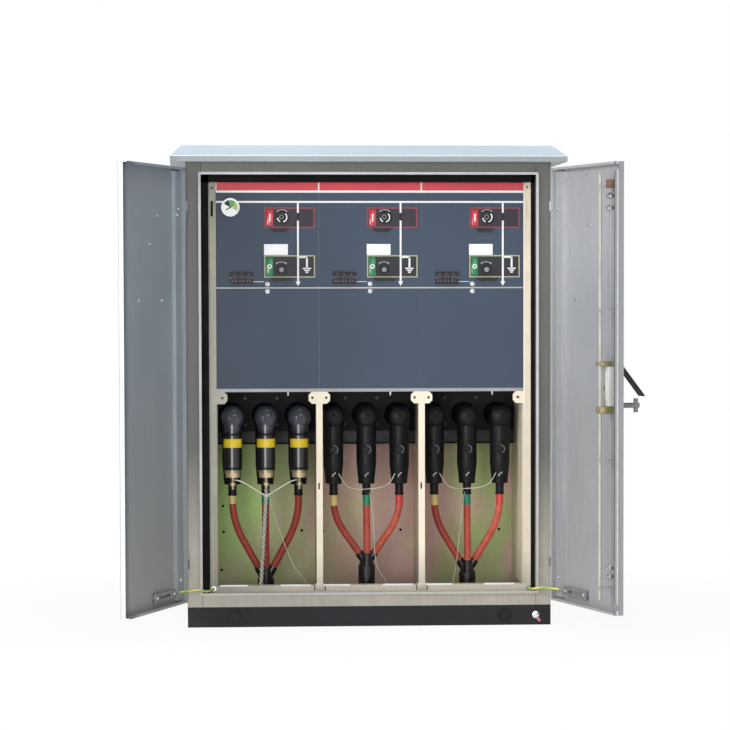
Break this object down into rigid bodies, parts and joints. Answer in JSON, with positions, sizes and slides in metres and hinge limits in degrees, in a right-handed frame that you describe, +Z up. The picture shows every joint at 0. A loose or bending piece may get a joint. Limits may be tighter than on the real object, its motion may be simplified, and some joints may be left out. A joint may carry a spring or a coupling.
{
  "type": "gas-insulated switchgear cabinet",
  "caption": "Outdoor cabinet with open doors round gas-insulated switchgear: mimic panels over cable bays with plug-in terminations, under a sloped roof.",
  "frame": {"origin": "middle of the plinth's underside, on the ground", "axes": "+Z up, +Y to the back, +X to the right seen from the front"},
  "size_m": [1.5837, 1.5127, 1.519],
  "materials": {
    "galvanised": "satin",
    "pale_sheet": "satin",
    "plinth_paint": "matte",
    "cream_paint": "satin",
    "slate_panel": "satin",
    "red_panel": "satin",
    "tank_paint": "matte",
    "zinc_sheet": "satin",
    "black_rubber": "matte",
    "core_jacket": "satin",
    "brass": "satin",
    "chrome": "polished",
    "grey_plastic": "matte",
    "black_plastic": "matte",
    "braid": "satin",
    "lead_jacket": "satin"
  },
  "bodies": {
    "cabinet": {"plinth_front": "plinth_paint", "plinth_rear": "plinth_paint", "plinth_sides": "plinth_paint", "plinth_plugs": "black_rubber", "floor_plate": "galvanised", "left_jamb": "galvanised", "right_jamb": "galvanised", "header": "galvanised", "sill": "galvanised", "seal_rail": "pale_sheet", "left_wall": "galvanised", "right_wall": "galvanised", "back_wall": "galvanised", "roof": "pale_sheet", "frame_hinges": "galvanised", "end_posts": "cream_paint", "mid_posts": "cream_paint", "bay_partitions": "cream_paint", "side_panels": "cream_paint", "bay_back_panel": "zinc_sheet", "base_rail": "cream_paint", "lower_strip": "cream_paint", "gas_tank": "tank_paint", "tank_back_plate": "tank_paint", "tank_stand": "galvanised", "mechanism_box": "galvanised", "stripe_panels": "red_panel", "mimic_panels": "slate_panel", "cover_panels": "slate_panel", "switch_plates": "red_panel", "earth_plates": "cream_paint", "switch_sockets": "chrome", "earth_sockets": "grey_plastic", "voltage_indicators": "black_plastic", "pressure_gauge": "chrome", "bay_connectors": "black_rubber", "surge_arresters": "black_rubber", "arrester_ends": "brass", "cable_cores": "core_jacket", "cable_boots": "black_rubber", "earth_strap": "braid", "arrester_wires": "braid", "screen_wires": "braid", "drain_wires": "braid", "left_earth_lead": "lead_jacket", "right_earth_lead": "lead_jacket"},
    "left_leaf": {"left_door": "galvanised", "left_stiffener": "galvanised", "left_stay": "pale_sheet"},
    "right_leaf": {"right_door": "pale_sheet", "right_stiffener": "pale_sheet", "right_stay": "pale_sheet", "lock_box": "grey_plastic", "rod_guides": "brass", "handle_plate": "black_plastic"},
    "lock_handle": {"handle": "grey_plastic"},
    "top_bolt": {"upper_rod": "cream_paint"},
    "foot_bolt": {"lower_rod": "cream_paint"},
    "cover_flap": {"lock_cover": "black_plastic"}
  },
  "joints": [
    {"name": "left_door_hinge", "type": "hinge", "parent": "cabinet", "child": "left_leaf", "pos_m": [-0.575, -0.458, 0], "axis": [0, 0, 1], "range_deg": [0, 108], "deforming": ["left_earth_lead"]},
    {"name": "right_door_hinge", "type": "hinge", "parent": "cabinet", "child": "right_leaf", "pos_m": [0.575, -0.458, 0], "axis": [0, 0, -1], "range_deg": [0, 103.6], "deforming": ["right_earth_lead"]},
    {"name": "handle_turn", "type": "hinge", "parent": "right_leaf", "child": "lock_handle", "pos_m": [0.69187, -0.94106, 0.71204], "axis": [-0.972, -0.2351, 0], "range_deg": [0, 90]},
    {"name": "top_bolt_slide", "type": "slide", "parent": "right_leaf", "child": "top_bolt", "axis": [0, 0, 1], "range_m": [0, 0.032]},
    {"name": "foot_bolt_slide", "type": "slide", "parent": "right_leaf", "child": "foot_bolt", "axis": [0, 0, -1], "range_m": [0, 0.0325]},
    {"name": "cover_lift", "type": "hinge", "parent": "right_leaf", "child": "cover_flap", "pos_m": [0.72491, -0.93307, 0.83804], "axis": [0.2351, -0.972, 0], "range_deg": [0, 80]}
  ],
  "couplings": [
    {"joint": "handle_turn", "follows": "top_bolt_slide", "rad_per_m": 49.087},
    {"joint": "foot_bolt_slide", "follows": "top_bolt_slide", "ratio": 1}
  ]
}
